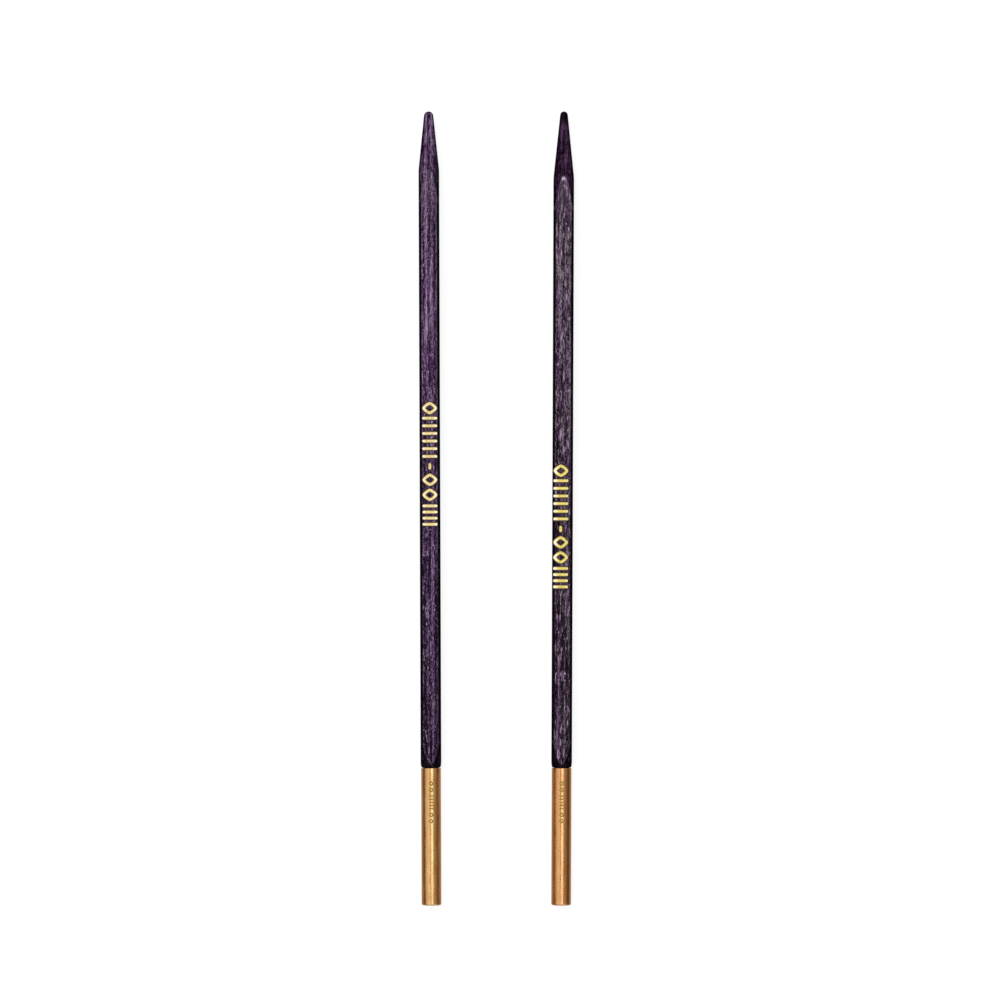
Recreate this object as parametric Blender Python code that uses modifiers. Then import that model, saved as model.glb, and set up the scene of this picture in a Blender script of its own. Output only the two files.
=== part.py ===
"""A pair of square interchangeable knitting needle tips, lying side by side.

Each tip is a square laminated-wood shaft, turned to a point at one end and to a tenon at the other,
glued into a round metal ferrule that is tapped at its free end for the screw of a cable.

Both pieces of a needle are modelled standing on the Z axis with the point up and the shoulder,
where wood meets metal, at Z = 0. An empty for each needle then lays it down along +Y.
Units are metres.
"""

import math

import bmesh
import bpy

# ---------------------------------------------------------------- driving dimensions
NEEDLE_LENGTH = 0.127            # a 5 inch tip, point to ferrule end
FERRULE_LENGTH = 0.022
SHAFT_WIDTH = 0.0033             # across the flats
CORNER_RADIUS = 0.00035          # along the four long edges

POINT_RADIUS = 0.00071           # dome at the very tip
POINT_HALF_ANGLE = math.radians(5.9)
SHOULDER_RADIUS = 0.001545       # wood turned down to meet the ferrule
SHOULDER_EASE = 0.0044           # length over which the corners are turned down to it
SHOULDER_ROUND = 0.00025         # rounded end of the wood against the ferrule

FERRULE_RADIUS = 0.001575
FERRULE_END_ROUND = 0.0003       # rounded edge at the free end
FERRULE_RIM_CHAMFER = 0.00008    # broken edge against the wood

TENON_RADIUS = 0.00115
TENON_LENGTH = 0.0105
TENON_CHAMFER = 0.0003
GLUE_GAP = 0.00005               # glue line around and above the tenon
SOCKET_DEPTH = 0.0112

THREAD_MAJOR_RADIUS = 0.001      # M2
THREAD_PITCH = 0.0004
THREAD_TURNS = 12
DRILL_DEPTH = 0.0072
LEAD_IN = 0.00008                # countersink at the mouth, past the thread's major radius

PAIR_SPACING = 0.0212            # between the two axes, halfway along
SPLAY = math.radians(0.21)       # each needle turned out at its point

TURNED_STEPS = 48
THREAD_STEPS = 16

# ---------------------------------------------------------------- worked-out values
WOOD_LENGTH = NEEDLE_LENGTH - FERRULE_LENGTH
CORNER_REACH = (SHAFT_WIDTH / 2 - CORNER_RADIUS) * math.sqrt(2) + CORNER_RADIUS
THREAD_HEIGHT = THREAD_PITCH * math.sqrt(3) / 2
DRILL_RADIUS = THREAD_MAJOR_RADIUS - THREAD_HEIGHT * 5 / 8
CLEAR = 0.001                    # how far a cutter stands past what it cuts
HALF_FACET = math.pi / TURNED_STEPS            # turns a cutter so that no edge lies on another
HALF_THREAD_FACET = math.pi / THREAD_STEPS


def clear_scene():
    for obj in list(bpy.data.objects):
        bpy.data.objects.remove(obj, do_unlink=True)


def new_collection(name):
    collection = bpy.data.collections.new(name)
    bpy.context.scene.collection.children.link(collection)
    return collection


def new_material(name, colour, roughness, metallic):
    material = bpy.data.materials.new(name)
    material.use_nodes = True
    shader = material.node_tree.nodes["Principled BSDF"]
    shader.inputs["Base Color"].default_value = (*colour, 1.0)
    shader.inputs["Roughness"].default_value = roughness
    shader.inputs["Metallic"].default_value = metallic
    material.diffuse_color = (*colour, 1.0)
    return material


def add_object(name, mesh, collection):
    obj = bpy.data.objects.new(name, mesh)
    collection.objects.link(obj)
    return obj


def arc(centre_r, centre_z, radius, start_deg, end_deg, count):
    """Points on an arc of a profile, as (radius, height) pairs, ends included."""
    angles = [math.radians(start_deg + (end_deg - start_deg) * i / count) for i in range(count + 1)]
    return [(centre_r + radius * math.cos(a), centre_z + radius * math.sin(a)) for a in angles]


def turned(name, profile, collection, steps):
    """A solid of revolution about Z. The profile runs down its outer side."""
    bm = bmesh.new()
    verts = [bm.verts.new((r, 0.0, z)) for r, z in profile]
    for upper, lower in zip(verts, verts[1:]):
        bm.edges.new((upper, lower))
    mesh = bpy.data.meshes.new(name)
    bm.to_mesh(mesh)
    bm.free()
    obj = add_object(name, mesh, collection)
    screw = obj.modifiers.new("Turn", "SCREW")
    screw.axis = "Z"
    screw.steps = steps
    screw.render_steps = steps
    screw.use_merge_vertices = True
    screw.merge_threshold = 0.000001
    screw.use_smooth_shade = False
    return obj


def as_cutter(obj):
    obj.hide_render = True
    obj.display_type = "WIRE"
    return obj


def cut(obj, cutter, operation):
    boolean = obj.modifiers.new(cutter.name, "BOOLEAN")
    boolean.object = cutter
    boolean.operation = operation
    boolean.solver = "EXACT"


def envelope_profile():
    """The turned outline of the wood: domed point, cone, clear of the square, shoulder and tenon."""
    half = POINT_HALF_ANGLE
    dome_centre = WOOD_LENGTH - POINT_RADIUS
    dome = arc(0.0, dome_centre, POINT_RADIUS, 90, math.degrees(half), 7)
    dome[0] = (0.0, WOOD_LENGTH)
    cone_top_r, cone_top_z = dome[-1]
    clear_r = CORNER_REACH + 0.0003
    cone_foot_z = cone_top_z - (clear_r - cone_top_r) / math.tan(half)
    ease_slope = (CORNER_REACH - SHOULDER_RADIUS) / SHOULDER_EASE
    ease_top_z = (clear_r - SHOULDER_RADIUS) / ease_slope
    end_round = arc(SHOULDER_RADIUS - SHOULDER_ROUND, SHOULDER_ROUND, SHOULDER_ROUND, 0, -90, 4)
    return dome + [(clear_r, cone_foot_z), (clear_r, ease_top_z)] + end_round + [
        (TENON_RADIUS, 0.0),
        (TENON_RADIUS, TENON_CHAMFER - TENON_LENGTH),
        (TENON_RADIUS - TENON_CHAMFER, -TENON_LENGTH),
        (0.0, -TENON_LENGTH),
    ]


def make_shaft(name, collection, cutters):
    """A square stick with rounded edges, kept where the turned envelope covers it."""
    low = -TENON_LENGTH - CLEAR
    high = WOOD_LENGTH + CLEAR
    bm = bmesh.new()
    bmesh.ops.create_cube(bm, size=1.0)
    bmesh.ops.scale(bm, vec=(SHAFT_WIDTH, SHAFT_WIDTH, high - low), verts=bm.verts)
    bmesh.ops.translate(bm, vec=(0.0, 0.0, (high + low) / 2), verts=bm.verts)
    long_edges = [e for e in bm.edges if abs(e.verts[0].co.z - e.verts[1].co.z) > CLEAR]
    bmesh.ops.bevel(bm, geom=long_edges, offset=CORNER_RADIUS, offset_type="OFFSET",
                    segments=4, profile=0.5, affect="EDGES")
    mesh = bpy.data.meshes.new(name)
    bm.to_mesh(mesh)
    bm.free()
    shaft = add_object(name, mesh, collection)
    envelope = as_cutter(turned(name + "_envelope", envelope_profile(), cutters, TURNED_STEPS))
    envelope.rotation_euler.z = HALF_FACET
    cut(shaft, envelope, "INTERSECT")
    return shaft, [envelope]


def ferrule_profile():
    """The turned outline of the ferrule with its glue socket, before drilling and tapping."""
    top = -GLUE_GAP
    bottom = -FERRULE_LENGTH
    socket_r = TENON_RADIUS + GLUE_GAP
    end_round = arc(FERRULE_RADIUS - FERRULE_END_ROUND, bottom + FERRULE_END_ROUND,
                    FERRULE_END_ROUND, 0, -90, 5)
    return [
        (0.0, -SOCKET_DEPTH),
        (socket_r, -SOCKET_DEPTH),
        (socket_r, top),
        (FERRULE_RADIUS - FERRULE_RIM_CHAMFER, top),
        (FERRULE_RADIUS, top - FERRULE_RIM_CHAMFER),
    ] + end_round + [(0.0, bottom)]


def drill_profile():
    """The tapping drill with its pointed end, and the countersink at the mouth."""
    mouth = -FERRULE_LENGTH
    sink_r = THREAD_MAJOR_RADIUS + LEAD_IN
    point_height = DRILL_RADIUS * math.tan(math.radians(31))
    return [
        (0.0, mouth + DRILL_DEPTH + point_height),
        (DRILL_RADIUS, mouth + DRILL_DEPTH),
        (DRILL_RADIUS, mouth + sink_r - DRILL_RADIUS),
        (sink_r, mouth),
        (sink_r, mouth - CLEAR),
        (0.0, mouth - CLEAR),
    ]


def make_tap(name, collection):
    """The helical groove of a 60 degree thread, as one closed solid, from below the mouth upwards."""
    inner_r = DRILL_RADIUS - 0.00004
    root_half = THREAD_PITCH / 16
    base_half = root_half + (THREAD_MAJOR_RADIUS - inner_r) * math.tan(math.radians(30))
    start_z = -FERRULE_LENGTH - THREAD_PITCH
    section = [(inner_r, -base_half), (THREAD_MAJOR_RADIUS, -root_half),
               (THREAD_MAJOR_RADIUS, root_half), (inner_r, base_half)]
    bm = bmesh.new()
    verts = [bm.verts.new((r, 0.0, start_z + z)) for r, z in section]
    first = bm.faces.new(verts)
    bmesh.ops.spin(bm, geom=[first], cent=(0, 0, 0), axis=(0, 0, 1),
                   dvec=(0, 0, THREAD_PITCH / THREAD_STEPS), angle=math.tau * THREAD_TURNS,
                   steps=THREAD_STEPS * THREAD_TURNS, use_normal_flip=True)
    bmesh.ops.recalc_face_normals(bm, faces=bm.faces)
    mesh = bpy.data.meshes.new(name)
    bm.to_mesh(mesh)
    bm.free()
    return add_object(name, mesh, collection)


def make_ferrule(name, collection, cutters):
    ferrule = turned(name, ferrule_profile(), collection, TURNED_STEPS)
    drill = as_cutter(turned(name + "_drill", drill_profile(), cutters, THREAD_STEPS))
    tap = as_cutter(make_tap(name + "_tap", cutters))
    drill.rotation_euler.z = HALF_FACET
    tap.rotation_euler.z = HALF_FACET + HALF_THREAD_FACET
    cut(ferrule, drill, "DIFFERENCE")
    cut(ferrule, tap, "DIFFERENCE")
    return ferrule, [drill, tap]


def make_needle(side, direction, collection, cutters, wood, metal):
    """One needle. Direction is -1 for the one at -X and +1 for the one at +X."""
    shaft, shaft_cutters = make_shaft(side + "_shaft", collection, cutters)
    ferrule, ferrule_cutters = make_ferrule(side + "_ferrule", collection, cutters)
    shaft.data.materials.append(wood)
    ferrule.data.materials.append(metal)

    shoulder_y = FERRULE_LENGTH - NEEDLE_LENGTH / 2
    needle = bpy.data.objects.new(side + "_needle", None)
    collection.objects.link(needle)
    needle.empty_display_size = 0.01
    needle.location = (direction * (PAIR_SPACING / 2 + shoulder_y * math.tan(SPLAY)),
                       shoulder_y, SHAFT_WIDTH / 2)
    needle.rotation_euler = (math.radians(-90), 0.0, -direction * SPLAY)
    for piece in [shaft, ferrule, *shaft_cutters, *ferrule_cutters]:
        piece.parent = needle


def main():
    clear_scene()
    needles = new_collection("knitting_needle_tips")
    cutters = new_collection("cutters")
    metal = new_material("brass", (0.60, 0.36, 0.17), 0.28, 1.0)
    left_wood = new_material("dyed_birch_left", (0.062, 0.035, 0.072), 0.42, 0.0)
    right_wood = new_material("dyed_birch_right", (0.050, 0.032, 0.050), 0.42, 0.0)
    make_needle("left", -1, needles, cutters, left_wood, metal)
    make_needle("right", 1, needles, cutters, right_wood, metal)
    bpy.context.view_layer.update()


main()
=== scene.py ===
"""Finishes a pair of square knitting needle tips: dyed laminated birch shafts, turned brass
ferrules, hot-stamped foil tallies and etched ferrule tallies, on a plain studio table.

Every piece of a needle is modelled standing on Z with its point up and the shoulder, where wood
meets metal, at Z = 0. needle_placement() then lays it where the frame's needle lies, which turns
the piece's -Y side up.
"""

import math

import bpy
import numpy as np
from mathutils import Euler, Matrix, Vector


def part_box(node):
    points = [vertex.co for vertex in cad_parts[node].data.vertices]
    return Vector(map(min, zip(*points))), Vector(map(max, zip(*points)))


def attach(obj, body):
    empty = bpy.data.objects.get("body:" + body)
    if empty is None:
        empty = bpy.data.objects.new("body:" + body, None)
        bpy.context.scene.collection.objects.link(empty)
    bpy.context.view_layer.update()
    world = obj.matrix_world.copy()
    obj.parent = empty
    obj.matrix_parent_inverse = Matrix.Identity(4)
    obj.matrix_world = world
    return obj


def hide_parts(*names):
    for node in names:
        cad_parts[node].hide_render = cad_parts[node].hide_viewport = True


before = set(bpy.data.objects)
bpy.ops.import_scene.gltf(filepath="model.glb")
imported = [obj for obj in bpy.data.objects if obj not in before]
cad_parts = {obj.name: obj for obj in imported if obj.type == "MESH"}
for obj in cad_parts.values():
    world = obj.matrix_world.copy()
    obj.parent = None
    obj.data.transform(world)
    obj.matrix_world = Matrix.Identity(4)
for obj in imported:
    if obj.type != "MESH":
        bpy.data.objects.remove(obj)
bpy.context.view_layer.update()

bl_info = {
    "name": "Square Needle Tips",
    "version": (1, 0, 0),
    "blender": (4, 5, 0),
    "location": "3D View > Sidebar > Needle Tips",
    "description": "Makes the wood, ferrules and marks of a pair of square knitting needle tips",
    "category": "Object",
}

MM = 0.001
SIDES = {"left": -1, "right": 1}

# How the two needles' wood differs, with strengths from 0 to 1:
#   over               how far the point was left over its size
#   dip, dip_dark      how far the tip was dipped in dye, and how dark it came out
#    tint, apex_highlight  the dye on the turned point, and the painted highlight where the top
#                          flat's middle meets the point
#    seam, flanks,         how dark the seam on the point is, and how dark the painted shade on
#    side_shade            the point's left and right flanks and along the flat's right side is
#   plies, paling      how far the plies stand out, and how much the wood pales to the point
#   ray, curl          the length of a ray fleck, and how much it curls
#   stamp              how high over the shoulder the middle of the foil tally is, and how far it
#                      was stamped off the flat's middle line
HABITS = {
    "left": {"over": 0.04 * MM, "dip": 1.0 * MM, "dip_dark": 0.15, "tint": 0.0, "apex_highlight": 0.0,
             "seam": 0.85, "flanks": (0.5, 0.85), "side_shade": 0.45, "plies": 0.11, "paling": 0.08,
             "ray": 0.9 * MM, "curl": 1.8, "stamp": (48.6 * MM, 0.0)},
    "right": {"over": -0.1 * MM, "dip": 3.0 * MM, "dip_dark": 0.88, "tint": 0.9, "apex_highlight": 0.9,
              "seam": 0.0, "flanks": (0.0, 0.0), "side_shade": 0.0, "plies": 0.04, "paling": 0.055,
              "ray": 1.4 * MM, "curl": 0.6, "stamp": (38.6 * MM, -0.3 * MM)},
}

SHAFT_LOW, SHAFT_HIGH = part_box("left_shaft")
FERRULE_LOW, FERRULE_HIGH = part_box("left_ferrule")
SPLAY = math.radians(0.21)
GLUE_GAP = 0.05 * MM
SHOULDER_Y = FERRULE_HIGH.y + GLUE_GAP
WOOD_LENGTH = SHAFT_HIGH.y - SHOULDER_Y
FERRULE_LENGTH = SHOULDER_Y - FERRULE_LOW.y
TENON_LENGTH = SHOULDER_Y - SHAFT_LOW.y
SHAFT_WIDTH = SHAFT_HIGH.z - SHAFT_LOW.z
FERRULE_RADIUS = (FERRULE_HIGH.z - FERRULE_LOW.z) / 2

PLY = 0.85 * MM                 # one pale and one dark ply of the lamination
END_GRAIN_DEPTH = 0.45 * MM     # how far down the tip the end grain shows,
END_GRAIN_FADE = 0.3 * MM       # over what length it darkens,
END_GRAIN_SOAK = 0.85           # and how dark it gets
OUTLINE_SHADE = 0.93             # how dark the painted shade on the outline of the turned point is
SEAM_PLACE = -0.16 * MM         # the seam's place off the point's middle line
SEAM_WIDTH = 0.11 * MM
SIDE_SHADE_START = 0.65 * MM          # the painted shade along the flat's right side, off its middle line
SIDE_SHADE_FULL = 0.95 * MM
SHOULDER_DARKENING = 0.88            # how much darker the turned wood at the shoulder is coloured
ARRIS_HIGHLIGHT = 0.05               # the painted highlight along an arris; on the point, twice that
PALER_NEAR_TIP = 0.05             # how much paler the flats are coloured near the tip,
PALER_FULL = 11 * MM          # fully down to here under the tip,
PALER_END = 20 * MM           # and not at all from here

PRESS_SHADE_MARGIN = 0.15 * MM        # the line of painted shade in the pressed groove round each foil stroke
PRESS_SHADE_HEIGHT = 0.004 * MM
FOIL_HEIGHT = 0.02 * MM
ETCH_HEIGHT = 0.003 * MM
ETCH_MIDDLE = -5.5 * MM         # the middle of the ferrule's tally, under the shoulder


def linear(hex_colour):
    """A #rrggbb sRGB colour as the linear numbers that shaders work in."""
    channels = [int(hex_colour[i:i + 2], 16) / 255 for i in (1, 3, 5)]
    return tuple(c / 12.92 if c <= 0.04045 else ((c + 0.055) / 1.055) ** 2.4 for c in channels)


def length_property(name, description, default):
    """A length in metres for the sidebar."""
    return bpy.props.FloatProperty(name=name, description=description, default=default,
                                   min=0.0, precision=5, unit="LENGTH")


def colour_property(name, description, hex_colour):
    """A colour for the sidebar, given as #rrggbb."""
    return bpy.props.FloatVectorProperty(name=name, description=description, subtype="COLOR",
                                         size=3, min=0.0, max=1.0, default=linear(hex_colour))


# ---------------------------------------------------------------- what a user would change

class NeedleSizes(bpy.types.PropertyGroup):
    """Sizes of the needles' finished surfaces"""
    shaft_width: length_property("Shaft width", "Across the flats of the square", SHAFT_WIDTH)
    corner_radius: length_property("Corner radius", "Rounding of the four long edges", 0.35 * MM)
    flat_crown: length_property("Flat crown", "How far a sanded flat swells at its middle",
                                0.02 * MM)
    arris_softness: length_property("Arris softness", "Sanding of the edge between flat and cone",
                                    0.05 * MM)
    point_radius: length_property("Point radius", "Dome at the very tip", 0.71 * MM)
    point_angle: bpy.props.FloatProperty(name="Point angle", description="Half angle of the cone",
                                         default=math.radians(5.9), subtype="ANGLE")
    shoulder_radius: length_property("Shoulder radius", "Wood turned down to meet the ferrule",
                                     1.545 * MM)
    shoulder_ease: length_property("Shoulder ease", "Length over which the corners are turned down",
                                   4.4 * MM)
    shoulder_round: length_property("Shoulder round", "Rounded end of the wood", 0.25 * MM)
    tenon_radius: length_property("Tenon radius", "Round tenon glued into the ferrule", 1.15 * MM)
    ferrule_radius: length_property("Ferrule radius", "Outside of the ferrule", FERRULE_RADIUS)
    ferrule_end_round: length_property("End round", "Rounded edge at the cable end", 0.3 * MM)
    ferrule_rim_round: length_property("Rim round", "Broken edge against the wood", 0.08 * MM)
    thread_radius: length_property("Thread radius", "Major radius of the tapped hole", 1.0 * MM)
    thread_pitch: length_property("Thread pitch", "Advance of one turn", 0.4 * MM)
    thread_turns: bpy.props.IntProperty(name="Thread turns", description="Turns inside the ferrule",
                                        default=11, min=1)
    drill_depth: length_property("Drill depth", "Depth of the tapping drill", 7.2 * MM)


class NeedleColours(bpy.types.PropertyGroup):
    """Colours of the wood, the metal, the marks and the table"""
    left_heart: colour_property("Left heartwood", "Darkest dye in the left shaft", "#1d0c22")
    left_fibre: colour_property("Left fibre", "Dyed fibre of the left shaft", "#573b61")
    left_streak: colour_property("Left streak", "Palest fibre of the left shaft", "#9b86a1")
    right_heart: colour_property("Right heartwood", "Darkest dye in the right shaft", "#1a0d1b")
    right_fibre: colour_property("Right fibre", "Dyed fibre of the right shaft", "#513e52")
    right_streak: colour_property("Right streak", "Palest fibre of the right shaft", "#978a95")
    fleck: colour_property("Ray fleck", "Rays that took hardly any dye", "#cfb2d0")
    # the darkest dye, and also the painted shade along the rounded edges and on the point's outline
    # and flanks
    soaked_and_shaded: colour_property("Soaked edge", "Wood that drank the most dye", "#050208")
    dye: colour_property("Violet dye", "Tints the fibres that took the most violet", "#b687c4")
    point_dye: colour_property("Point dye", "Tints the turned point of the right shaft", "#8f5a96")
    # the colour of the painted highlight along the arrises and at the point's apex, and of the
    # paling near the tip
    highlight_and_pale_wood: colour_property("Bare wood", "Wood rubbed through the dye", "#ceb6cc")
    left_brass: colour_property("Left brass", "Polished metal of the left ferrule", "#f4d296")
    right_brass: colour_property("Right brass", "Polished metal of the right ferrule", "#efbe88")
    tarnish: colour_property("Tarnish", "Handled metal of the ferrules", "#dc9c62")
    # also the colour of the painted shade on the foil's bevelled rim
    etch: colour_property("Etch", "Oxide left in the etched tally", "#8a7418")
    left_foil: colour_property("Left foil", "Gold foil of the left size tally", "#e3cf98")
    right_foil: colour_property("Right foil", "Gold foil of the right size tally", "#dcca70")
    # the colour of the painted highlight on the foil towards the flat's edges
    foil_highlight: colour_property("Burnished foil", "Foil rubbed pale near the edges", "#fbf0d0")
    # the colour of the painted shade in the pressed groove round the foil
    press_shade: colour_property("Press line", "Scorched wood round the pressed foil", "#120606")
    table: colour_property("Table", "Opal acrylic under the needles", "#fdfcfd")


# ---------------------------------------------------------------- shaders

def add_node(tree, kind, settings=None, sockets=None):
    """Adds a node, sets its own settings, and fills its sockets with values or links.

    The setting "stops" holds a colour ramp's positions and colours.
    """
    made = tree.nodes.new(kind)
    for name, value in (settings or {}).items():
        if name == "stops":
            ramp = made.color_ramp.elements
            while len(ramp) < len(value):
                ramp.new(1.0)
            for element, (position, colour) in zip(ramp, value):
                element.position = position
                element.color = (*colour, 1.0)
        else:
            setattr(made, name, value)
    for key, value in (sockets or {}).items():
        if isinstance(value, bpy.types.NodeSocket):
            tree.links.new(value, made.inputs[key])
        else:
            made.inputs[key].default_value = value
    return made


def new_material(name):
    """An empty material and its node tree."""
    material = bpy.data.materials.new(name)
    material.use_nodes = True
    material.node_tree.nodes.clear()
    return material, material.node_tree


def figure(tree, across, along, detail, roughness=0.55, distortion=0.0, shift=0.0):
    """Noise drawn out along the needle: across and along are the size of one figure in metres.

    shift takes the noise from another place, so that no two figures line up.
    """
    place = add_node(tree, "ShaderNodeTexCoord").outputs["Object"]
    stretch = add_node(tree, "ShaderNodeMapping", None, {
        "Vector": place, "Location": (shift, shift, shift),
        "Scale": (1 / across, 1 / across, 1 / along)})
    noise = add_node(tree, "ShaderNodeTexNoise", None, {
        "Vector": stretch.outputs[0], "Scale": 1.0, "Detail": detail,
        "Roughness": roughness, "Distortion": distortion})
    return noise.outputs["Fac"]


def birch(side, colours):
    """Birch plies, dyed and laminated, planed square, sanded and satin lacquered.

    To the eye: near-black purple wood with mauve fibres running its length, paler towards the
    point and darkest at the dipped tip and the end grain, which drank more dye, under a thin soft
    gloss. Painted shade darkens the rounded edges, the outline and flanks of the turned point and
    the right side of the top and bottom flats, a painted highlight lightens the arrises, and the
    turned wood at the shoulder is coloured darker. Two plies are 0.85 mm thick together, the
    fibres show as streaks 0.2 mm wide, and the rays and cells as flecks 0.24 and 0.15 mm wide.
    Fibres, rays and cells are drawn coarser than the real ones, so that they show.
    """
    heart, fibre, streak = (getattr(colours, f"{side}_{tone}")
                            for tone in ("heart", "fibre", "streak"))
    habits = HABITS[side]
    shift = 7.3 if side == "right" else 0.0
    material, tree = new_material(f"satin lacquered dyed birch {side}")

    grain = figure(tree, 0.7 * MM, 18 * MM, 1.0, shift=shift)
    fibres = figure(tree, 0.2 * MM, 1.7 * MM, 3.0, 0.62, 0.7, shift)
    flecks = figure(tree, 0.15 * MM, 0.34 * MM, 2.0, 0.65, 1.4, shift)
    hues = figure(tree, 0.45 * MM, 6 * MM, 2.0, shift=shift + 5.7)
    rays = figure(tree, 0.24 * MM, habits["ray"], 1.0, 0.5, habits["curl"], shift + 2.9)
    place = add_node(tree, "ShaderNodeSeparateXYZ", None, {
        "Vector": add_node(tree, "ShaderNodeTexCoord").outputs["Object"]})
    wander = add_node(tree, "ShaderNodeMath", {"operation": "MULTIPLY_ADD"}, {
        0: grain, 1: 0.5 * PLY, 2: place.outputs["X"]})
    turns = add_node(tree, "ShaderNodeMath", {"operation": "MULTIPLY_ADD"}, {
        0: wander.outputs[0], 1: math.tau / PLY, 2: math.radians(100)})
    plies = add_node(tree, "ShaderNodeMath", {"operation": "COSINE"}, {0: turns.outputs[0]})

    veined = add_node(tree, "ShaderNodeMath", {"operation": "MULTIPLY_ADD"},
                      {0: grain, 1: 0.5, 2: fibres})
    banded = add_node(tree, "ShaderNodeMath", {"operation": "MULTIPLY_ADD"},
                      {0: plies.outputs[0], 1: habits["plies"], 2: veined.outputs[0]})
    mottled = add_node(tree, "ShaderNodeMath", {"operation": "MULTIPLY_ADD"},
                       {0: flecks, 1: 1.1, 2: banded.outputs[0]})
    paling = add_node(tree, "ShaderNodeMapRange", None, {
        "Value": place.outputs["Z"], "From Max": WOOD_LENGTH,
        "To Min": -habits["paling"], "To Max": habits["paling"]})
    figured = add_node(tree, "ShaderNodeMath", {"operation": "ADD"}, {
        0: mottled.outputs[0], 1: paling.outputs[0]})
    spread = add_node(tree, "ShaderNodeMapRange", None, {
        "Value": figured.outputs[0], "From Min": 1.05, "From Max": 1.64})

    dark = add_node(tree, "ShaderNodeValToRGB", {"stops": [
        (0.05, [c * 0.5 for c in heart]), (0.3, heart), (0.85, fibre)]}, {
        "Fac": spread.outputs[0]})
    pale = add_node(tree, "ShaderNodeMapRange", {"interpolation_type": "SMOOTHSTEP"}, {
        "Value": spread.outputs[0], "From Min": 0.35, "From Max": 1.05})
    tone = add_node(tree, "ShaderNodeMix", {"data_type": "RGBA"}, {
        0: pale.outputs[0], 6: dark.outputs["Color"], 7: (*streak, 1.0)})
    fibre_hue = add_node(tree, "ShaderNodeMapRange", None, {
        "Value": hues, "From Min": 0.4, "From Max": 0.65})
    violet = add_node(tree, "ShaderNodeMix", {"data_type": "RGBA", "blend_type": "MULTIPLY"}, {
        0: fibre_hue.outputs[0], 6: tone.outputs[2], 7: (*colours.dye, 1.0)})
    ray = add_node(tree, "ShaderNodeMapRange", {"interpolation_type": "SMOOTHSTEP"}, {
        "Value": rays, "From Min": 0.62, "From Max": 0.74, "To Max": 0.48})
    flecked = add_node(tree, "ShaderNodeMix", {"data_type": "RGBA"}, {
        0: ray.outputs[0], 6: violet.outputs[2], 7: (*colours.fleck, 1.0)})

    dye = add_node(tree, "ShaderNodeAttribute", {"attribute_name": "dye"})
    dyed = add_node(tree, "ShaderNodeMix", {"data_type": "RGBA", "blend_type": "MULTIPLY"}, {
        0: dye.outputs["Fac"], 6: flecked.outputs[2], 7: (*colours.point_dye, 1.0)})
    # dye soaked into the dipped tip, the end grain and the seam, and painted shade on the rounded
    # edges, on the point's outline and flanks and along a flat's right side; the shoulder's turned
    # wood is darker too
    soak = add_node(tree, "ShaderNodeAttribute", {"attribute_name": "soak"})
    soaked_and_shaded = add_node(tree, "ShaderNodeMix", {"data_type": "RGBA"}, {
        0: soak.outputs["Fac"], 6: dyed.outputs[2], 7: (*colours.soaked_and_shaded, 1.0)})
    # a painted highlight along the arrises and at the apex of the point, and the flats paler near
    # the tip
    wear = add_node(tree, "ShaderNodeAttribute", {"attribute_name": "wear"})
    painted_highlight_mix = add_node(tree, "ShaderNodeMix", {"data_type": "RGBA"}, {
        0: wear.outputs["Fac"], 6: soaked_and_shaded.outputs[2], 7: (*colours.highlight_and_pale_wood, 1.0)})

    raised = add_node(tree, "ShaderNodeBump", None, {
        "Strength": 0.5, "Distance": 0.012 * MM, "Height": mottled.outputs[0]})
    shader = add_node(tree, "ShaderNodeBsdfPrincipled", None, {
        "Base Color": painted_highlight_mix.outputs[2], "Roughness": 0.5, "Specular IOR Level": 0.0,
        "Normal": raised.outputs[0], "Coat Weight": 0.07, "Coat Roughness": 0.3,
        "Coat Normal": raised.outputs[0]})
    add_node(tree, "ShaderNodeOutputMaterial", None, {"Surface": shader.outputs[0]})
    return material


def brass(side, colours):
    """Brass bar, turned to size, then tumbled and polished lengthwise.

    To the eye: a warm copper gold whose highlights break into soft lengthwise streaks and a fine
    sparkle. They are drawn 0.15 and 0.17 mm wide, coarser than real polishing lines, so that they
    show, and the tarnish lies in clouds 0.5 mm wide.
    """
    material, tree = new_material(f"satin polished brass {side}")
    drawn = figure(tree, 0.15 * MM, 3 * MM, 3.0)
    sparkle = figure(tree, 0.17 * MM, 0.3 * MM, 2.0, shift=9.0)
    clouds = figure(tree, 0.5 * MM, 2.5 * MM, 2.0, shift=4.0)
    patches = add_node(tree, "ShaderNodeMapRange", None, {
        "Value": clouds, "From Min": 0.2, "From Max": 0.8})
    tone = add_node(tree, "ShaderNodeMix", {"data_type": "RGBA"}, {
        0: patches.outputs[0], 6: (*getattr(colours, f"{side}_brass"), 1.0),
        7: (*colours.tarnish, 1.0)})
    texture = add_node(tree, "ShaderNodeMath", {"operation": "ADD"}, {0: drawn, 1: sparkle})
    gloss = add_node(tree, "ShaderNodeMapRange", None, {
        "Value": texture.outputs[0], "From Min": 0.7, "From Max": 1.3, "To Min": 0.19,
        "To Max": 0.32})
    lines = add_node(tree, "ShaderNodeBump", None, {
        "Strength": 0.65, "Distance": 0.014 * MM, "Height": texture.outputs[0]})
    shader = add_node(tree, "ShaderNodeBsdfPrincipled", None, {
        "Base Color": tone.outputs[2], "Metallic": 1.0, "Roughness": gloss.outputs[0],
        "Normal": lines.outputs[0]})
    add_node(tree, "ShaderNodeOutputMaterial", None, {"Surface": shader.outputs[0]})
    return material


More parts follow.
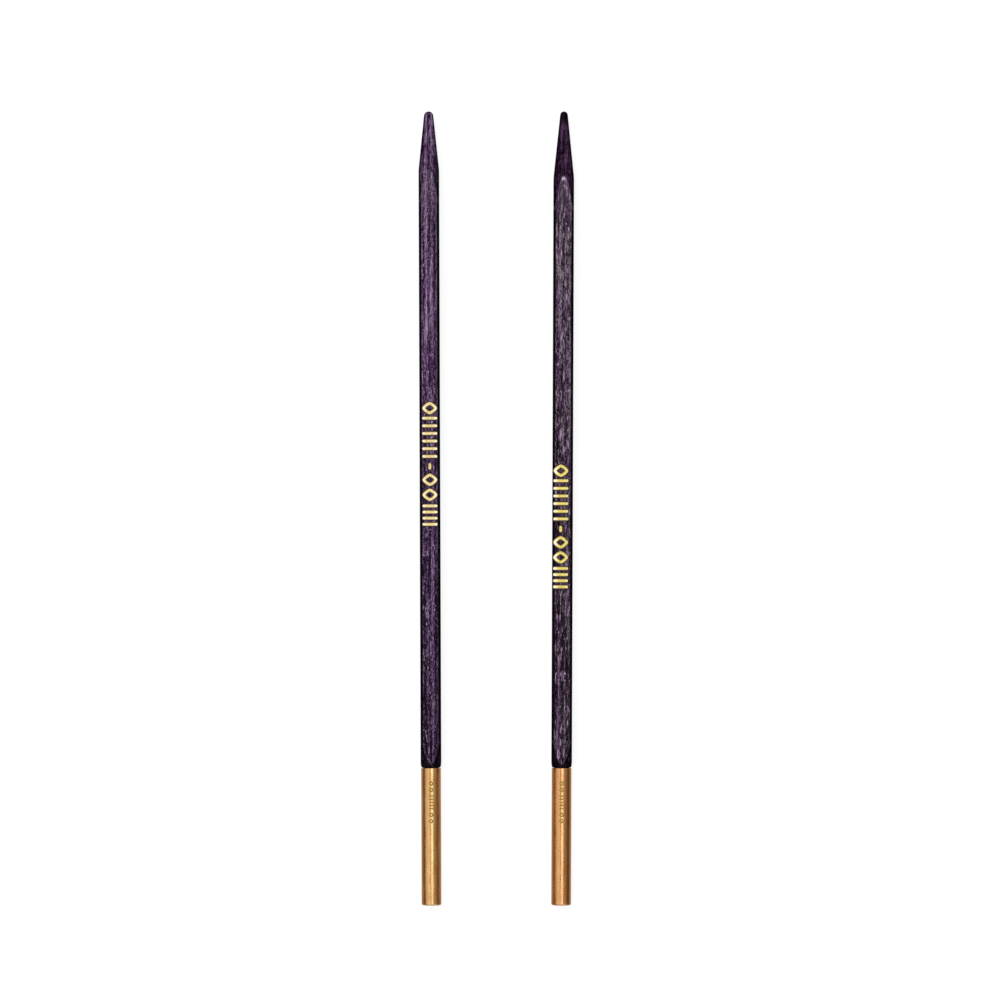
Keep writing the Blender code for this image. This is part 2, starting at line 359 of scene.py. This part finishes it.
def etched_brass(colours):
    """Brass etched by laser: each stroke is a dull olive-brown oxide, worn thin in places.

    The worn spots are drawn 0.12 mm wide, coarser than the real ones, so that they show.
    """
    material, tree = new_material("laser etched brass")
    grit = figure(tree, 0.12 * MM, 0.3 * MM, 2.0)
    thin = add_node(tree, "ShaderNodeMapRange", None, {
        "Value": grit, "From Min": 0.5, "From Max": 0.8, "To Max": 0.7})
    tone = add_node(tree, "ShaderNodeMix", {"data_type": "RGBA"}, {
        0: thin.outputs[0], 6: (*colours.etch, 1.0), 7: (*colours.tarnish, 1.0)})
    shader = add_node(tree, "ShaderNodeBsdfPrincipled", None, {
        "Base Color": tone.outputs[2], "Metallic": 0.4, "Roughness": 0.55})
    add_node(tree, "ShaderNodeOutputMaterial", None, {"Surface": shader.outputs[0]})
    return material


def foil(side, colours):
    """Gold foil, hot-stamped into wood: a pale bright metal skin, a little broken by the grain.

    To the eye: pale gold, with a whiter painted highlight near the ends of the strokes towards
    the flat's edges, and painted shade in olive on its bevelled rim. The breaks are drawn 0.17 mm
    wide, coarser than the real ones, so that they show.
    """
    material, tree = new_material(f"hot stamped gold foil {side}")
    grit = figure(tree, 0.17 * MM, 0.3 * MM, 3.0, 0.6, 0.5)
    worn = add_node(tree, "ShaderNodeMapRange", {"interpolation_type": "SMOOTHSTEP"}, {
        "Value": grit, "From Min": 0.48, "From Max": 0.72, "To Max": 0.75})
    tone = add_node(tree, "ShaderNodeMix", {"data_type": "RGBA"}, {
        0: worn.outputs[0], 6: (*getattr(colours, f"{side}_foil"), 1.0),
        7: (*colours.etch, 1.0)})
    place = add_node(tree, "ShaderNodeSeparateXYZ", None, {
        "Vector": add_node(tree, "ShaderNodeTexCoord").outputs["Object"]})
    # a painted highlight, paler towards the flat's edges
    off_middle = add_node(tree, "ShaderNodeMath", {"operation": "ABSOLUTE"}, {
        0: place.outputs["X"]})
    painted_highlight_mix = add_node(tree, "ShaderNodeMapRange", {"interpolation_type": "SMOOTHSTEP"}, {
        "Value": off_middle.outputs[0], "From Min": 0.5 * MM, "From Max": 1.2 * MM, "To Max": 0.8})
    foil_highlight = add_node(tree, "ShaderNodeMix", {"data_type": "RGBA"}, {
        0: painted_highlight_mix.outputs[0], 6: tone.outputs[2], 7: (*colours.foil_highlight, 1.0)})
    # painted shade in olive on the bevelled rim of each stroke
    rim = add_node(tree, "ShaderNodeAttribute", {"attribute_name": "rim"})
    rimmed = add_node(tree, "ShaderNodeMix", {"data_type": "RGBA"}, {
        0: rim.outputs["Fac"], 6: foil_highlight.outputs[2], 7: (*colours.etch, 1.0)})
    crinkle = add_node(tree, "ShaderNodeBump", None, {
        "Strength": 0.4, "Distance": 0.01 * MM, "Height": grit})
    shader = add_node(tree, "ShaderNodeBsdfPrincipled", None, {
        "Base Color": rimmed.outputs[2], "Metallic": 0.6, "Roughness": 0.42,
        "Normal": crinkle.outputs[0]})
    add_node(tree, "ShaderNodeOutputMaterial", None, {"Surface": shader.outputs[0]})
    return material


def press_shade_wood(colours):
    """Birch round the foil, an almost black matte line of painted shade where the die pressed a
    groove.

    Its grain is drawn 0.1 mm wide, coarser than the real one, so that it shows.
    """
    material, tree = new_material("press_shaded birch")
    grit = figure(tree, 0.1 * MM, 1.0 * MM, 2.0)
    tone = add_node(tree, "ShaderNodeMix", {"data_type": "RGBA"}, {
        0: grit, 6: (*colours.press_shade, 1.0), 7: (*colours.left_heart, 1.0)})
    shader = add_node(tree, "ShaderNodeBsdfPrincipled", None, {
        "Base Color": tone.outputs[2], "Roughness": 0.6})
    add_node(tree, "ShaderNodeOutputMaterial", None, {"Surface": shader.outputs[0]})
    return material


def opal_acrylic(colours):
    """Opal acrylic light table, sanded matt: even white, and its glow keeps the shadows faint."""
    material, tree = new_material("sanded opal acrylic")
    shader = add_node(tree, "ShaderNodeBsdfPrincipled", None, {
        "Base Color": (*[c * 0.2 for c in colours.table], 1.0), "Roughness": 0.9,
        "Specular IOR Level": 0.1, "Emission Color": (*colours.table, 1.0),
        "Emission Strength": 0.86})
    add_node(tree, "ShaderNodeOutputMaterial", None, {"Surface": shader.outputs[0]})
    return material


# ---------------------------------------------------------------- geometry

def needle_placement(side):
    """The matrix that lays a piece modelled on Z where the frame's needle lies."""
    direction = SIDES[side]
    low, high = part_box(f"{side}_ferrule")
    middle = (low + high) / 2
    shoulder_x = middle.x + direction * math.tan(SPLAY) * (SHOULDER_Y - middle.y)
    turn = Euler((math.radians(-90), 0.0, -direction * SPLAY)).to_matrix().to_4x4()
    return Matrix.Translation((shoulder_x, SHOULDER_Y, SHAFT_WIDTH / 2)) @ turn


def link_new(name, data):
    """A new object in the scene for a mesh, a light or the camera."""
    made = bpy.data.objects.new(name, data)
    bpy.context.scene.collection.objects.link(made)
    return made


def add_piece(name, mesh, material, side):
    """Links a piece, lays it down with its needle and lets it ride on the needle's body."""
    piece = link_new(name, mesh)
    piece.matrix_world = needle_placement(side)
    mesh.materials.append(material)
    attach(piece, f"{side}_needle")
    return piece


def smooth_step(value, low, high):
    """0 below low, 1 above high, and an even S between them."""
    t = np.clip((value - low) / (high - low), 0.0, 1.0)
    return t * t * (3 - 2 * t)


def skinned(name, rings, first_pole, last_pole, sharp_degrees):
    """A closed mesh through rings of points, all of one length, with a pole at each end."""
    rings = np.asarray(rings)
    count, around = rings.shape[:2]
    points = np.vstack([[first_pole], rings.reshape(-1, 3), [last_pole]])
    here = np.arange(around)
    beside = (here + 1) % around
    quads = []
    for k in range(count - 1):
        low, high = 1 + k * around, 1 + (k + 1) * around
        quads += np.stack([low + here, low + beside, high + beside, high + here], 1).tolist()
    last = 1 + (count - 1) * around
    caps = [(0, 1 + b, 1 + a) for a, b in zip(here, beside)]
    caps += [(last + around, last + a, last + b) for a, b in zip(here, beside)]
    mesh = bpy.data.meshes.new(name)
    mesh.from_pydata(points.tolist(), [], quads + [tuple(map(int, c)) for c in caps])
    mesh.shade_smooth()
    mesh.set_sharp_from_angle(angle=math.radians(sharp_degrees))
    return mesh


def square_directions(sizes):
    """Angles round the shaft: even steps across each flat and close steps round each corner."""
    half = sizes.shaft_width / 2
    edge = math.atan2(half - sizes.corner_radius, half)
    flat = np.arctan(np.linspace(-1, 1, 25) * math.tan(edge))
    corner = np.linspace(edge, math.pi / 2 - edge, 9)[1:-1]
    quarter = np.concatenate([flat, corner])
    return np.concatenate([quarter + turn * math.pi / 2 for turn in range(4)])


def square_radius(angles, sizes):
    """Distance from the axis to the planed square, with its crowned flats and round corners."""
    half, corner, crown = sizes.shaft_width / 2, sizes.corner_radius, sizes.flat_crown
    off = np.abs((angles + math.pi / 4) % (math.pi / 2) - math.pi / 4)
    across = np.tan(off) * half / (half - corner)
    on_flat = (half - crown * across ** 2) / np.cos(off)
    centre = (half - crown - corner) * math.sqrt(2)
    turn = math.pi / 4 - off
    on_corner = centre * np.cos(turn) + np.sqrt(
        np.maximum(corner ** 2 - (centre * np.sin(turn)) ** 2, 0.0))
    return np.where(across <= 1.0, on_flat, on_corner)


def turned_radius(height, sizes, fullness):
    """Radius that the lathe left at a height; fullness is how much the point was left over size."""
    angle, dome = sizes.point_angle, sizes.point_radius + fullness
    depth = WOOD_LENGTH - height
    dome_depth = dome * (1 - math.sin(angle))
    on_dome = np.sqrt(np.maximum(dome ** 2 - (dome - depth) ** 2, 0.0))
    on_cone = dome * math.cos(angle) + (depth - dome_depth) * math.tan(angle)
    point = np.where(depth < dome_depth, on_dome, on_cone)

    reach = (sizes.shaft_width / 2 - sizes.corner_radius) * math.sqrt(2) + sizes.corner_radius
    slope = (reach - sizes.shoulder_radius) / sizes.shoulder_ease
    left = np.clip(sizes.shoulder_round - height, 0.0, sizes.shoulder_round)
    rounding = sizes.shoulder_round - np.sqrt(sizes.shoulder_round ** 2 - left ** 2)
    shoulder = sizes.shoulder_radius + slope * height - rounding
    return np.minimum(point, shoulder)


def shaft_heights(sizes):
    """Heights of the rings from shoulder to tip, closest where the shape changes most."""
    straight_start, straight_end = 6.0, 88.0    # millimetres over the shoulder
    end_round = sizes.shoulder_round * (1 - np.cos(np.linspace(0, math.pi / 2, 7)))
    shoulder = np.arange(0.35, straight_start, 0.1) * MM
    straight = np.arange(straight_start, straight_end, 2.0) * MM
    cone = np.arange(straight_end * MM, WOOD_LENGTH - 0.7 * MM, 0.12 * MM)
    dome = WOOD_LENGTH - sizes.point_radius * (1 - np.sin(np.linspace(0.12, 1.5, 12)))
    return np.concatenate([end_round, shoulder, straight, cone, dome])


def point_soak_and_shade(habits, across):
    """How dark a turned ring is: painted shade on its outline and flanks, and dye in its seam."""
    outline = np.abs(across).max()
    dark_from, dark_to = 0.8 * outline - 0.14 * MM, 0.92 * outline - 0.07 * MM
    # painted shade on the point's outline
    rim = OUTLINE_SHADE * smooth_step(np.abs(across), dark_from, dark_to)
    seam = np.exp(-((across - SEAM_PLACE) / SEAM_WIDTH) ** 2) * habits["seam"]
    # painted shade on the point's two flanks
    inner, outer = 0.45 * outline, 0.62 * outline
    left, right = (smooth_step(sign * across, inner, outer) * dark
                   for sign, dark in zip((-1, 1), habits["flanks"]))
    right_only_where_wide = right * smooth_step(outline, 1.1 * MM, 1.5 * MM)
    return np.maximum.reduce([rim, seam, left, right_only_where_wide])


def stain(side, sizes, xy, height, over_lathe):
    """How much a ring's points take of dye and painted shade, of tint, and of painted highlight and
    paling near the tip, each from 0 to 1.

    over_lathe is how far the planed square would stand outside the turned surface.
    """
    habits = HABITS[side]
    across = xy[:, 0]
    facing_up_or_down = np.abs(xy[:, 1]) > np.abs(across)
    turned = smooth_step(over_lathe, 0.0, 0.05 * MM)
    off_arris = over_lathe + 0.012 * MM
    arris = np.exp(-(off_arris / (0.022 * MM)) ** 2)
    flat_half = sizes.shaft_width / 2 - sizes.corner_radius
    # painted shade along the rounded corners of the square
    edges = smooth_step(np.min(np.abs(xy), 1), 0.86 * flat_half, 0.99 * flat_half)
    depth = WOOD_LENGTH - height
    dipped = smooth_step(habits["dip"] - depth, 0.0, 0.7 * habits["dip"]) * habits["dip_dark"]
    end_grain = smooth_step(END_GRAIN_DEPTH - depth, 0.0, END_GRAIN_FADE) * END_GRAIN_SOAK
    soak = np.maximum(edges, max(dipped, end_grain))
    # a painted highlight along the arris where a flat meets the turned wood
    wear = arris * ARRIS_HIGHLIGHT
    tint = np.zeros(len(xy))
    if height > WOOD_LENGTH / 2:
        # painted shade on the point's outline and flanks, with the dye in its seam
        soak = np.maximum(soak, point_soak_and_shade(habits, across) * turned)
        # a painted highlight where the top flat's middle meets the point
        top_middle = xy[:, 1] < -0.99 * np.hypot(*xy.T)
        # the flats coloured paler near the tip
        paler_near_tip = PALER_NEAR_TIP * (1 - smooth_step(depth, PALER_FULL, PALER_END))
        wear = np.maximum.reduce([wear * 2, arris * top_middle * habits["apex_highlight"],
                                  paler_near_tip * (1 - turned) * (1 - edges)])
        tint = turned * habits["tint"]
    else:
        # the turned wood at the shoulder coloured darker
        soak = np.maximum(soak, turned * SHOULDER_DARKENING)
    # painted shade along the right side of the top and bottom flats
    side_shade = smooth_step(across, SIDE_SHADE_START, SIDE_SHADE_FULL) * facing_up_or_down * habits["side_shade"]
    return {"soak": np.maximum(soak, side_shade), "dye": tint, "wear": wear}


def shaft_mesh(side, sizes):
    """Tenon, shoulder, square and point in one skin, with stain()'s values as attributes."""
    angles = square_directions(sizes)
    round_xy = np.stack([np.cos(angles), np.sin(angles)], 1)
    chamfer = 0.3 * MM
    tenon = [(sizes.tenon_radius - chamfer, -TENON_LENGTH),
             (sizes.tenon_radius, chamfer - TENON_LENGTH), (sizes.tenon_radius, 0.0)]
    rings = [np.column_stack([round_xy * r, np.full(len(angles), z)]) for r, z in tenon]
    paint = {name: [np.zeros(len(angles)) for _ in tenon] for name in ("soak", "dye", "wear")}

    square = square_radius(angles, sizes)
    soft = sizes.arris_softness
    for height in shaft_heights(sizes):
        lathe = float(turned_radius(np.array(height), sizes, HABITS[side]["over"]))
        near = np.maximum(soft - np.abs(square - lathe), 0.0) / soft
        radius = np.minimum(square, lathe) - near ** 2 * soft / 4
        xy = round_xy * radius[:, None]
        rings.append(np.column_stack([xy, np.full(len(angles), height)]))
        for name, values in stain(side, sizes, xy, height, square - lathe).items():
            paint[name].append(values)

    mesh = skinned(f"{side}_shaft", rings, (0, 0, -TENON_LENGTH), (0, 0, WOOD_LENGTH),
                   sharp_degrees=50)
    for name, rows in paint.items():
        values = np.concatenate([[0.0], np.concatenate(rows), [rows[-1].max()]])
        mesh.attributes.new(name, "FLOAT", "POINT").data.foreach_set("value", values)
    return mesh


def arc(centre_r, centre_z, radius, start, end, count):
    """Profile points on an arc, as (radius, height) pairs, ends included; angles in degrees."""
    turns = np.radians(np.linspace(start, end, count))
    return [(centre_r + radius * math.cos(a), centre_z + radius * math.sin(a)) for a in turns]


def thread_rings(angles, sizes, mouth):
    """Rings up the tapped hole: a 60 degree groove that climbs one pitch a turn."""
    pitch, major = sizes.thread_pitch, sizes.thread_radius
    minor = major - pitch * math.sqrt(3) / 2 * 5 / 8
    rings = []
    for height in np.arange(0.3 * pitch, pitch * sizes.thread_turns, pitch / 14):
        along = (height / pitch - angles / math.tau) % 1.0
        from_groove = np.abs(along - 0.5) * pitch
        depth = np.clip((pitch * 3 / 8 - from_groove) * math.sqrt(3), 0.0, major - minor)
        radius = minor + depth
        rings.append(np.column_stack([radius * np.cos(angles), radius * np.sin(angles),
                                      np.full(len(angles), mouth + height)]))
    return rings, minor


def ferrule_mesh(side, sizes):
    """Glue socket, rim, barrel, rounded end and tapped hole in one skin.

    The profile runs down the outside, so the angles run backwards to turn the faces outwards.
    """
    angles = np.linspace(math.tau, 0, 96, endpoint=False)
    mouth = -FERRULE_LENGTH
    glue_well = 0.7 * MM
    socket_r, socket_z = sizes.tenon_radius + GLUE_GAP, -TENON_LENGTH - glue_well
    rim, end = sizes.ferrule_rim_round, sizes.ferrule_end_round
    outside = sizes.ferrule_radius
    profile = [(socket_r, socket_z), (socket_r, -GLUE_GAP)]
    profile += arc(outside - rim, -GLUE_GAP - rim, rim, 90, 0, 5)
    profile += [(outside, z) for z in np.linspace(-1.0 * MM, mouth + 1.0 * MM, 20)]
    profile += arc(outside - end, mouth + end, end, 0, -90, 9)
    countersink = 0.08 * MM
    profile += [(sizes.thread_radius + countersink, mouth)]
    rings = [np.column_stack([r * np.cos(angles), r * np.sin(angles), np.full(len(angles), z)])
             for r, z in profile]
    thread, minor = thread_rings(angles, sizes, mouth)
    rings += thread
    depth = mouth + sizes.drill_depth
    rings.append(np.column_stack([minor * np.cos(angles), minor * np.sin(angles),
                                  np.full(len(angles), depth)]))
    drill_point = depth + minor * math.tan(math.radians(31))
    return skinned(f"{side}_ferrule", rings, (0, 0, socket_z), (0, 0, drill_point),
                   sharp_degrees=30)


# ---------------------------------------------------------------- tallies

def bar(middle, length, width):
    """A stroke across the needle, centred at a height.

    A stroke is its points (across, along), its half width at each, and whether it is closed.
    """
    half = width / 2
    cap = half * (1 - np.cos(np.linspace(0.2, math.pi / 2, 6)))
    inner = np.linspace(half, length - half, 12)[1:-1]
    run = np.concatenate([cap, inner, length - cap[::-1]])
    end_distance = np.minimum(np.minimum(run, length - run), half)
    widths = np.sqrt(half ** 2 - (half - end_distance) ** 2)
    points = np.column_stack([run - length / 2, np.full(len(run), middle)])
    return points, widths, False


def dash(middle, length, width):
    """A stroke along the needle, centred at a height."""
    points, widths, closed = bar(0.0, length, width)
    turned = np.column_stack([points[:, 1], middle + points[:, 0]])
    return turned, widths, closed


def lozenge(middle, across, along, width):
    """A closed diamond with rounded corners, centred at a height."""
    turns = np.linspace(0, math.tau, 64, endpoint=False)
    power = 1.3              # 1 is a sharp diamond and 2 an oval
    reach = (np.abs(np.cos(turns)) ** power + np.abs(np.sin(turns)) ** power) ** (-1 / power)
    points = np.column_stack([(across - width) / 2 * np.cos(turns) * reach,
                              middle + (along - width) / 2 * np.sin(turns) * reach])
    return points, np.full(len(turns), width / 2), True


def relief_mesh(name, strokes, lay_on, grow, thickness):
    """Strokes as low closed bodies with bevelled shoulders, laid on a surface.

    lay_on(across, along, lift) gives the point at that lift over the surface.
    """
    section = [(-1.0, -1.0), (-1.0, 0.4), (-0.65, 1.0), (0.65, 1.0), (1.0, 0.4), (1.0, -1.0)]
    verts, faces, rim_shade_marks = [], [], []
    for points, widths, closed in strokes:
        if closed:
            ahead = np.roll(points, -1, 0) - np.roll(points, 1, 0)
        else:
            ahead = np.gradient(points, axis=0)
        ahead = ahead / np.linalg.norm(ahead, axis=1, keepdims=True)
        beside = np.column_stack([-ahead[:, 1], ahead[:, 0]])
        base = len(verts)
        for point, side, width in zip(points, beside, widths):
            for out, up in section:
                across, along = point + side * out * (width + grow)
                verts.append(lay_on(across, along, up * thickness))
                # marks a stroke's bevel and sides, where the foil's painted shade goes
                rim_shade_marks.append(float(up < 1.0))
        count, corners = len(points), len(section)
        for k in range(count if closed else count - 1):
            here, there = base + k * corners, base + (k + 1) % count * corners
            for j in range(corners):
                i = (j + 1) % corners
                faces.append((here + j, there + j, there + i, here + i))
        if not closed:
            last = base + (count - 1) * corners
            faces.append(tuple(base + j for j in range(corners)))
            faces.append(tuple(last + j for j in reversed(range(corners))))
    mesh = bpy.data.meshes.new(name)
    mesh.from_pydata(verts, [], faces)
    mesh.attributes.new("rim", "FLOAT", "POINT").data.foreach_set("value", rim_shade_marks)
    mesh.update()
    return mesh


def size_tally(middle):
    """The gauge as a tally: four bars, two lozenges, a dash, six bars and a lozenge."""
    wide, stroke = 2.4 * MM, 0.48 * MM
    start = middle - 9.9 * MM
    strokes = [bar(start + (0.24 + 0.98 * k) * MM, wide, stroke) for k in range(4)]
    strokes += [lozenge(start + z * MM, wide, 2.0 * MM, stroke) for z in (4.95, 7.35, 18.8)]
    strokes.append(dash(start + 9.5 * MM, 1.0 * MM, stroke))
    strokes += [bar(start + (11.1 + 1.22 * k) * MM, wide, stroke) for k in range(6)]
    return strokes


def thread_tally(middle):
    """The thread's size as a tally: small bars between two groups of lozenges."""
    wide, stroke = 0.8 * MM, 0.23 * MM
    start = middle - 3.4 * MM
    strokes = [lozenge(start + z * MM, wide, 0.8 * MM, stroke) for z in (0.4, 1.4, 5.4, 6.4)]
    strokes += [bar(start + z * MM, wide, stroke) for z in (2.4, 2.9, 3.4, 3.9, 4.4)]
    return strokes


def on_flat(sizes, offset):
    """Lays strokes on the crowned top flat, off its middle line by an offset."""
    flat_half = sizes.shaft_width / 2 - sizes.corner_radius

    def lay(across, along, lift):
        across += offset
        sag = sizes.flat_crown * (across / flat_half) ** 2
        return (across, -(sizes.shaft_width / 2 - sag + lift), along)
    return lay


def on_barrel(sizes):
    """Lays strokes round the top of the ferrule's barrel."""
    def lay(across, along, lift):
        turn = across / sizes.ferrule_radius
        reach = sizes.ferrule_radius + lift
        return (reach * math.sin(turn), -reach * math.cos(turn), along)
    return lay


# ---------------------------------------------------------------- stage

def lay_table(colours):
    """A wide table top under the needles, left out of their reflections and side light."""
    reach = 6.0
    mesh = bpy.data.meshes.new("table")
    mesh.from_pydata([(-reach, -reach, 0), (reach, -reach, 0), (reach, reach, 0),
                      (-reach, reach, 0)], [], [(0, 1, 2, 3)])
    mesh.materials.append(opal_acrylic(colours))
    table = link_new("table", mesh)
    table.visible_glossy = table.visible_diffuse = False


def hang_lights():
    """A wide soft key from the points' side, and three panels that only the reflections see."""
    key = bpy.data.lights.new("key_light", "SUN")
    key.energy, key.angle = 1.9, math.radians(50)
    sun = link_new("key_light", key)
    sun.rotation_euler = Vector((-0.25, 0.4, 1.0)).to_track_quat("Z", "Y").to_euler()
    sun.visible_glossy = False

    distance, length = 0.9, 1.2
    for name, degrees, half_angle, radiance, colour in (
            ("left_softbox", -45.0, 27.0, 0.48, "#ffffff"),
            ("left_strip", -23.0, 9.0, 0.34, "#ffffff"),
            ("strip_light", 10.0, 9.0, 1.9, "#fcfdff")):
        light = bpy.data.lights.new(name, "AREA")
        light.shape = "RECTANGLE"
        light.size = 2 * distance * math.tan(math.radians(half_angle))
        light.size_y = length
        light.energy = radiance * math.pi * light.size * light.size_y
        light.color = linear(colour)
        lamp = link_new(name, light)
        lean = math.radians(degrees)
        lamp.location = (distance * math.sin(lean), 0.1, distance * math.cos(lean))
        lamp.rotation_euler = (0.0, lean, 0.0)
        lamp.visible_diffuse = False
        lamp.visible_camera = False


def studio_world():
    """White to the camera, soft grey to the wood, and to the metal a dim brown room.

    The room has a pale floor and ceiling, and a card beyond each end of the needles that is
    dark at the height of the horizon.
    """
    world = bpy.data.worlds.new("studio")
    world.use_nodes = True
    tree = world.node_tree
    tree.nodes.clear()
    place = add_node(tree, "ShaderNodeSeparateXYZ", None, {
        "Vector": add_node(tree, "ShaderNodeTexCoord").outputs["Generated"]})
    height = add_node(tree, "ShaderNodeMapRange", None, {
        "Value": place.outputs["Z"], "From Min": -1.0, "From Max": 1.0})
    room = add_node(tree, "ShaderNodeValToRGB", {"stops": [
        (0.25, (0.46, 0.38, 0.30)), (0.42, (0.11, 0.06, 0.025)),
        (0.6, (0.11, 0.065, 0.03)), (0.85, (0.34, 0.30, 0.26))]}, {"Fac": height.outputs[0]})
    card = add_node(tree, "ShaderNodeValToRGB", {"stops": [
        (0.14, (0.52, 0.48, 0.44)), (0.42, (0.20, 0.15, 0.11)),
        (0.55, (0.36, 0.32, 0.28)), (0.78, (1.0, 0.98, 0.95))]}, {"Fac": height.outputs[0]})
    end_on = add_node(tree, "ShaderNodeMath", {"operation": "ABSOLUTE"}, {
        0: place.outputs["Y"]})
    towards_card = add_node(tree, "ShaderNodeMapRange", {"interpolation_type": "SMOOTHSTEP"}, {
        "Value": end_on.outputs[0], "From Min": 0.2, "From Max": 0.6})
    in_gloss = add_node(tree, "ShaderNodeMix", {"data_type": "RGBA"}, {
        0: towards_card.outputs[0], 6: room.outputs["Color"], 7: card.outputs["Color"]})
    in_shade = add_node(tree, "ShaderNodeValToRGB", {"stops": [
        (0.4, (0.42, 0.42, 0.42)), (0.6, (0.6, 0.6, 0.6))]}, {"Fac": height.outputs[0]})
    ray = add_node(tree, "ShaderNodeLightPath")
    on_needles = add_node(tree, "ShaderNodeMix", {"data_type": "RGBA"}, {
        0: ray.outputs["Is Glossy Ray"], 6: in_shade.outputs["Color"],
        7: in_gloss.outputs[2]})
    backdrop = add_node(tree, "ShaderNodeMix", {"data_type": "RGBA"}, {
        0: ray.outputs["Is Camera Ray"], 6: on_needles.outputs[2], 7: (1.0, 1.0, 1.0, 1.0)})
    sky = add_node(tree, "ShaderNodeBackground", None, {"Color": backdrop.outputs[2]})
    add_node(tree, "ShaderNodeOutputWorld", None, {"Surface": sky.outputs[0]})
    return world


def camera_overhead():
    """A long lens straight over the needles, high enough to see 160 mm of table."""
    camera = bpy.data.cameras.new("camera")
    camera.lens, camera.sensor_width = 300.0, 36.0
    camera.dof.use_dof = False
    camera.clip_start = 0.01
    view_width = 160 * MM
    off_middle = (0.59 * MM, 1.33 * MM)
    eye = link_new("camera", camera)
    eye.location = (*off_middle,
                    SHAFT_WIDTH / 2 + view_width * camera.lens / camera.sensor_width)
    return eye


# ---------------------------------------------------------------- operators

class NEEDLE_OT_shafts(bpy.types.Operator):
    """Make both lacquered birch shafts"""
    bl_idname = "needle_tips.shafts"
    bl_label = "Shafts"

    def execute(self, context):
        sizes, colours = context.scene.needle_sizes, context.scene.needle_colours
        for side in SIDES:
            piece = add_piece(f"{side}_wood", shaft_mesh(side, sizes), birch(side, colours),
                              side)
            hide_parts(f"{side}_shaft")
        return {"FINISHED"}


class NEEDLE_OT_ferrules(bpy.types.Operator):
    """Make both turned and tapped brass ferrules"""
    bl_idname = "needle_tips.ferrules"
    bl_label = "Ferrules"

    def execute(self, context):
        sizes, colours = context.scene.needle_sizes, context.scene.needle_colours
        for side in SIDES:
            piece = add_piece(f"{side}_barrel", ferrule_mesh(side, sizes), brass(side, colours),
                              side)
            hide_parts(f"{side}_ferrule")
        return {"FINISHED"}


class NEEDLE_OT_size_marks(bpy.types.Operator):
    """Stamp the gold size tally on each shaft's top flat"""
    bl_idname = "needle_tips.size_marks"
    bl_label = "Size tallies"

    def execute(self, context):
        sizes, colours = context.scene.needle_sizes, context.scene.needle_colours
        press_shade_material = press_shade_wood(colours)
        for side in SIDES:
            middle, offset = HABITS[side]["stamp"]
            strokes = size_tally(middle)
            lay = on_flat(sizes, offset)
            # a near-black sheet of painted shade round each stroke, standing for the pressed groove
            press_shade_line = relief_mesh("press_shade", strokes, lay, PRESS_SHADE_MARGIN, PRESS_SHADE_HEIGHT)
            add_piece(f"{side}_press_shade_line", press_shade_line, press_shade_material, side)
            stamped = relief_mesh("foil", strokes, lay, 0.0, FOIL_HEIGHT)
            add_piece(f"{side}_foil", stamped, foil(side, colours), side)
        return {"FINISHED"}


class NEEDLE_OT_thread_marks(bpy.types.Operator):
    """Etch the thread tally on each ferrule"""
    bl_idname = "needle_tips.thread_marks"
    bl_label = "Thread tallies"

    def execute(self, context):
        sizes, colours = context.scene.needle_sizes, context.scene.needle_colours
        oxide = etched_brass(colours)
        for side in SIDES:
            strokes = thread_tally(ETCH_MIDDLE)
            etched = relief_mesh("etch", strokes, on_barrel(sizes), 0.0, ETCH_HEIGHT)
            add_piece(f"{side}_etched_tally", etched, oxide, side)
        return {"FINISHED"}


class NEEDLE_OT_stage(bpy.types.Operator):
    """Set the table, the lights and the camera"""
    bl_idname = "needle_tips.stage"
    bl_label = "Stage"

    def execute(self, context):
        lay_table(context.scene.needle_colours)
        hang_lights()
        context.scene.world = studio_world()
        context.scene.view_settings.view_transform = "Standard"
        context.scene.camera = camera_overhead()
        return {"FINISHED"}


class NEEDLE_PT_sidebar(bpy.types.Panel):
    """Lists the pieces of the needle tips in the order they are made"""
    bl_idname = "NEEDLE_PT_sidebar"
    bl_label = "Needle Tips"
    bl_space_type = "VIEW_3D"
    bl_region_type = "UI"
    bl_category = "Needle Tips"

    def draw(self, context):
        for operator in OPERATORS:
            self.layout.operator(operator.bl_idname)
        for group in (context.scene.needle_sizes, context.scene.needle_colours):
            box = self.layout.box()
            for name in group.__annotations__:
                box.prop(group, name)


OPERATORS = (NEEDLE_OT_stage, NEEDLE_OT_shafts, NEEDLE_OT_ferrules, NEEDLE_OT_size_marks,
             NEEDLE_OT_thread_marks)
CLASSES = (NeedleSizes, NeedleColours, *OPERATORS, NEEDLE_PT_sidebar)


def register():
    for cls in CLASSES:
        bpy.utils.register_class(cls)
    bpy.types.Scene.needle_sizes = bpy.props.PointerProperty(type=NeedleSizes)
    bpy.types.Scene.needle_colours = bpy.props.PointerProperty(type=NeedleColours)


def unregister():
    del bpy.types.Scene.needle_colours
    del bpy.types.Scene.needle_sizes
    for cls in reversed(CLASSES):
        bpy.utils.unregister_class(cls)


def main():
    """Makes everything."""
    register()
    bpy.ops.needle_tips.stage()
    bpy.ops.needle_tips.shafts()
    bpy.ops.needle_tips.ferrules()
    bpy.ops.needle_tips.size_marks()
    bpy.ops.needle_tips.thread_marks()


if __name__ == "__main__":
    main()
